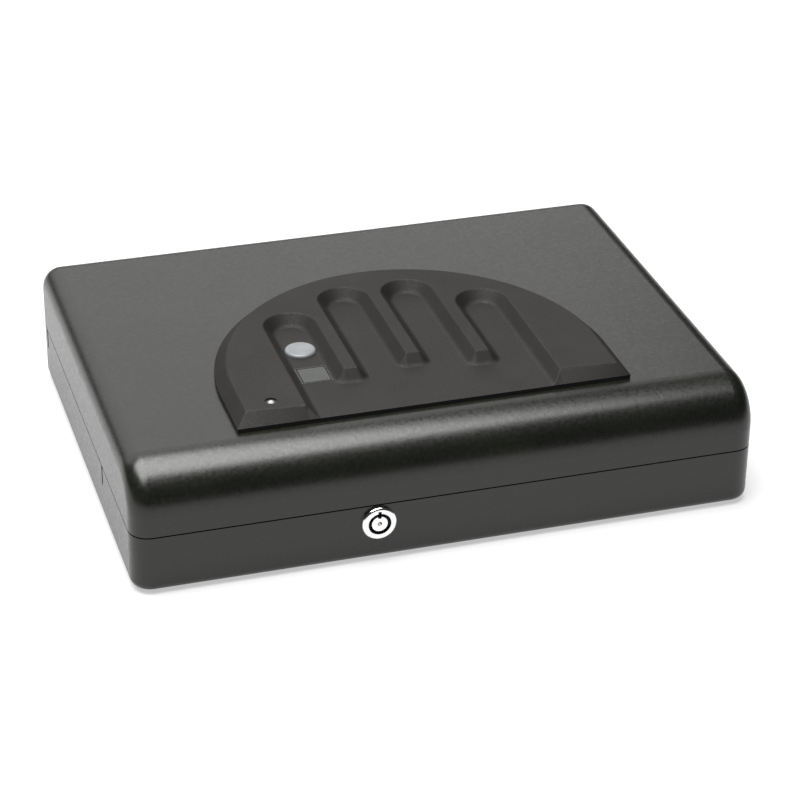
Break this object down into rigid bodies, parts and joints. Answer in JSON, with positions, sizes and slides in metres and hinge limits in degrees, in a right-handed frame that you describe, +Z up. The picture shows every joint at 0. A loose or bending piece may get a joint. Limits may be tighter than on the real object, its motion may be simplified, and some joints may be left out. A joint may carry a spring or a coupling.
{
  "type": "gun safe",
  "caption": "Compact desktop gun safe with a side-hinged lid, moulded finger-groove pad, start button, fingerprint window and tubular key lock.",
  "frame": {"origin": "on the floor under the middle of the case", "axes": "+X from the hinge side to the opening side, +Y from the front with the key lock to the rear, +Z up"},
  "size_m": [0.28, 0.212, 0.0651],
  "materials": {
    "powder_coat": "satin black powder coat on pressed steel, fine grain",
    "zinc_plate": "zinc plated steel, dull silver",
    "black_deck": "matt black painted sheet steel",
    "lining_foam": "charcoal closed-cell foam sheet",
    "foot_rubber": "black moulded rubber",
    "gasket_rubber": "black sponge gasket",
    "pad_plastic": "dark grey moulded ABS, fine spark texture",
    "button_plastic": "pale grey moulded button",
    "sensor_glass": "grey coated sensor window",
    "sensor_frame_metal": "dark grey frame",
    "led_lens": "clear lens",
    "lock_chrome": "bright nickel chrome on a turned lock body",
    "plug_black": "black lock plug with a bright post",
    "tray_plastic": "black moulded ABS",
    "circuit_green": "green solder mask",
    "component_black": "black moulded components",
    "battery_foil": "plain metal battery case",
    "coil_copper": "enamelled copper winding",
    "ribbon_film": "amber polyimide film",
    "lead_red": "insulated lead",
    "spring_steel": "bright spring wire"
  },
  "bodies": {
    "base": {"base_shell": "powder_coat", "rim_lip": "powder_coat", "front_deck": "black_deck", "deck_posts": "zinc_plate", "deck_screws": "zinc_plate", "base_liner": "lining_foam", "rubber_feet": "foot_rubber", "hinge_bracket_front": "zinc_plate", "hinge_bracket_rear": "zinc_plate", "hinge_pin_front": "spring_steel", "hinge_pin_rear": "spring_steel", "lock_housing": "lock_chrome", "lock_nut": "zinc_plate", "guide_posts": "zinc_plate", "guide_screws": "zinc_plate", "spring_anchor": "zinc_plate", "catch_spring": "spring_steel"},
    "lock_core": {"lock_plug": "plug_black", "lock_cam": "zinc_plate", "cam_pin": "spring_steel", "cam_screw": "zinc_plate"},
    "catch": {"catch_bar": "zinc_plate"},
    "lid": {"lid_shell": "powder_coat", "hinge_arm_front": "black_deck", "hinge_arm_rear": "black_deck", "lid_liner": "lining_foam", "pad_gasket": "gasket_rubber", "hand_pad": "pad_plastic", "pad_screws": "zinc_plate", "button_switch": "component_black", "sensor_frame": "sensor_frame_metal", "sensor_window": "sensor_glass", "sensor_module": "component_black", "module_board": "circuit_green", "module_cover": "tray_plastic", "led_bezel": "component_black", "status_led": "led_lens", "works_tray": "tray_plastic", "lid_studs": "zinc_plate", "works_screws": "zinc_plate", "battery": "battery_foil", "battery_clip": "component_black", "door_pin": "spring_steel", "control_board": "circuit_green", "board_parts": "component_black", "board_spacers": "component_black", "board_screws": "zinc_plate", "sensor_ribbon": "ribbon_film", "battery_leads": "lead_red", "solenoid_frame": "zinc_plate", "solenoid_coil": "coil_copper", "bolt_spring": "spring_steel"},
    "bolt": {"bolt_bar": "zinc_plate", "solenoid_plunger": "zinc_plate", "plunger_clip": "spring_steel"},
    "door": {"battery_door": "tray_plastic"},
    "button": {"start_button": "button_plastic"}
  },
  "joints": [
    {"name": "lid_hinge", "type": "hinge", "parent": "base", "child": "lid", "pos_m": [-0.1348, 0, 0.016], "axis": [0, -1, 0], "range_deg": [0, 95]},
    {"name": "bolt_slide", "type": "slide", "parent": "lid", "child": "bolt", "axis": [1, 0, 0], "range_m": [0, 0.006], "deforming": ["bolt_spring"]},
    {"name": "lock_turn", "type": "hinge", "parent": "base", "child": "lock_core", "pos_m": [-0.0335, -0.1, 0.0195], "axis": [0, -1, 0], "range_deg": [0, 90]},
    {"name": "catch_slide", "type": "slide", "parent": "base", "child": "catch", "axis": [1, 0, 0], "range_m": [0, 0.008], "deforming": ["catch_spring"]},
    {"name": "start_press", "type": "slide", "parent": "lid", "child": "button", "axis": [0, 0, -1], "range_m": [0, 0.0008], "stiffness_N_per_m": 500, "springref_m": -0.0004},
    {"name": "battery_door_hinge", "type": "hinge", "parent": "lid", "child": "door", "pos_m": [0.087, -0.0524, 0.0316], "axis": [-1, 0, 0], "range_deg": [0, 90]}
  ],
  "couplings": [
    {"joint": "lock_turn", "follows": "catch_slide", "rad_per_m": 196.3}
  ]
}
